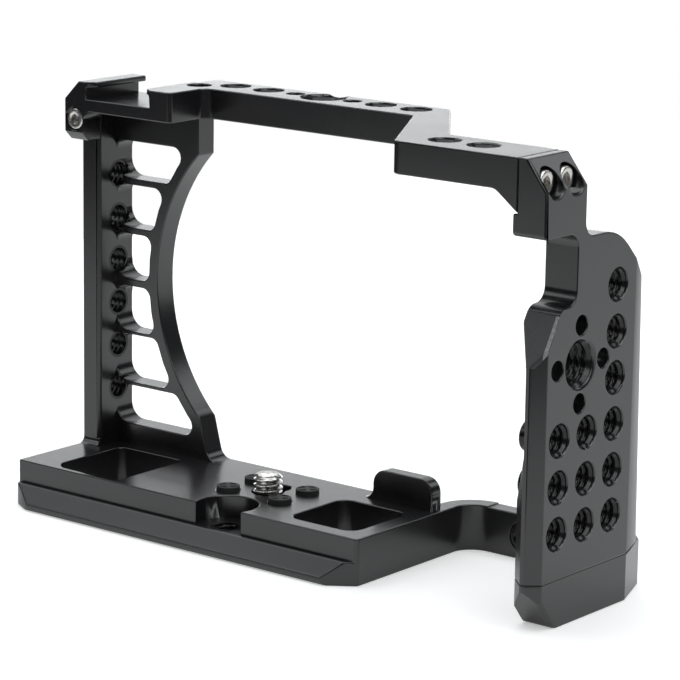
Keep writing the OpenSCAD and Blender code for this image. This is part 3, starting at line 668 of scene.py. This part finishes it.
def white_table():
    """White table that glows a little, for the camera most; its own shadows stay."""
    finish = Finish("white_table")
    finish.surface(Base_Color=TABLE_WHITE, Roughness=0.6, Specular_IOR_Level=0.2)
    seen = finish.node("LightPath", output="Is Camera Ray")
    mirrored = finish.node("LightPath", output="Is Glossy Ray")
    strength = seen * (TABLE_GLOW + PAPER_GLOW) + mirrored * TABLE_GLOW
    glow = finish.node("Emission", {"Color": PAPER_WHITE, "Strength": strength})
    both = finish.node("AddShader", {0: Wave(finish, finish.shader.outputs[0]), 1: glow})
    finish.feed(finish.tree.nodes["Material Output"].inputs["Surface"], both)
    return finish.material


new_piece("table", [(np.array(TABLE_CORNERS), np.array([[0, 1, 2, 3]]))], white_table())

world = bpy.data.worlds.new("studio")
bpy.context.scene.world = world
world.use_nodes = True
nodes, links = world.node_tree.nodes, world.node_tree.links
path, choose = nodes.new("ShaderNodeLightPath"), nodes.new("ShaderNodeMixShader")
room, paper = nodes["Background"], nodes.new("ShaderNodeBackground")
for backdrop, tint, glow in ((room, ROOM_TINT, ROOM_GLOW), (paper, PAPER_WHITE, 1.0)):
    backdrop.inputs["Color"].default_value = tint
    backdrop.inputs["Strength"].default_value = glow
links.new(path.outputs["Is Camera Ray"], choose.inputs[0])
links.new(room.outputs[0], choose.inputs[1])
links.new(paper.outputs[0], choose.inputs[2])
links.new(choose.outputs[0], nodes["World Output"].inputs["Surface"])


def softbox(name, azimuth, elevation, away, size, power):
    """Lamp aimed at the object; azimuth in degrees clockwise from +Y, away and size in metres."""
    lamp = bpy.data.lights.new(name, "AREA")
    lamp.shape, lamp.size, lamp.size_y, lamp.energy = "RECTANGLE", *size, power
    lamp.color = LAMP_TINT
    holder = in_scene(name, lamp)
    turn, rise = math.radians(azimuth), math.radians(elevation)
    way = Vector((math.sin(turn) * math.cos(rise), math.cos(turn) * math.cos(rise), math.sin(rise)))
    facing = (-way).to_track_quat("-Z", "Y").to_matrix().to_4x4()
    holder.matrix_world = Matrix.Translation(AIM + away * way) @ facing
    holder.visible_camera = False


softbox("overhead", 0, 89, 1.3, (1.4, 1.4), 12.3)
softbox("left_high", -90, 50, 1.4, (1.0, 1.0), 3.4)
softbox("right_high", 90, 45, 1.4, (0.9, 0.9), 5.6)
softbox("behind_high", -39, 35, 1.6, (1.6, 0.7), 3.9)
softbox("behind_middle", -39, 17, 1.6, (1.8, 0.36), 1.25)
softbox("behind_low", -39, 5, 1.6, (1.8, 0.28), 5.0)
softbox("left_low", -100, 14, 1.5, (0.9, 0.5), 0.45)
softbox("behind_right", 26, 32, 1.5, (0.5, 0.5), 1.3)
softbox("behind_strip", -2, 4, 1.6, (0.8, 0.2), 1.7)
softbox("photographer_far_left", -133, 34, 1.4, (0.5, 0.5), 1.5)
softbox("photographer_right", 119, 29, 1.4, (0.5, 0.5), 2.2)

# Photograph's view
# Place and turn of the camera, worked out from the edges of the plane faces.
VIEW_AZIMUTH, VIEW_ELEVATION, VIEW_ROLL = (math.radians(a) for a in (38.515, 12.637, 0.8826))
VIEW_PLACE = Vector((0.40018, -0.49728, 0.18858))
VIEW_LENS, VIEW_SENSOR, VIEW_NEAREST, VIEW_FURTHEST = 162.25, 36, 0.01, 20
camera = in_scene("camera", bpy.data.cameras.new("camera"))
camera.data.lens, camera.data.sensor_width = VIEW_LENS, VIEW_SENSOR
camera.data.clip_start, camera.data.clip_end = VIEW_NEAREST, VIEW_FURTHEST
back = Vector((math.sin(VIEW_AZIMUTH) * math.cos(VIEW_ELEVATION),
               -math.cos(VIEW_AZIMUTH) * math.cos(VIEW_ELEVATION), math.sin(VIEW_ELEVATION)))
level = Vector((math.cos(VIEW_AZIMUTH), math.sin(VIEW_AZIMUTH), 0))
upright = back.cross(level)
right = level * math.cos(VIEW_ROLL) + upright * math.sin(VIEW_ROLL)
upward = upright * math.cos(VIEW_ROLL) - level * math.sin(VIEW_ROLL)
camera.matrix_world = Matrix.Translation(VIEW_PLACE) @ Matrix((right, upward, back)).transposed().to_4x4()
bpy.context.scene.camera = camera
bpy.context.scene.view_settings.view_transform = "Standard"
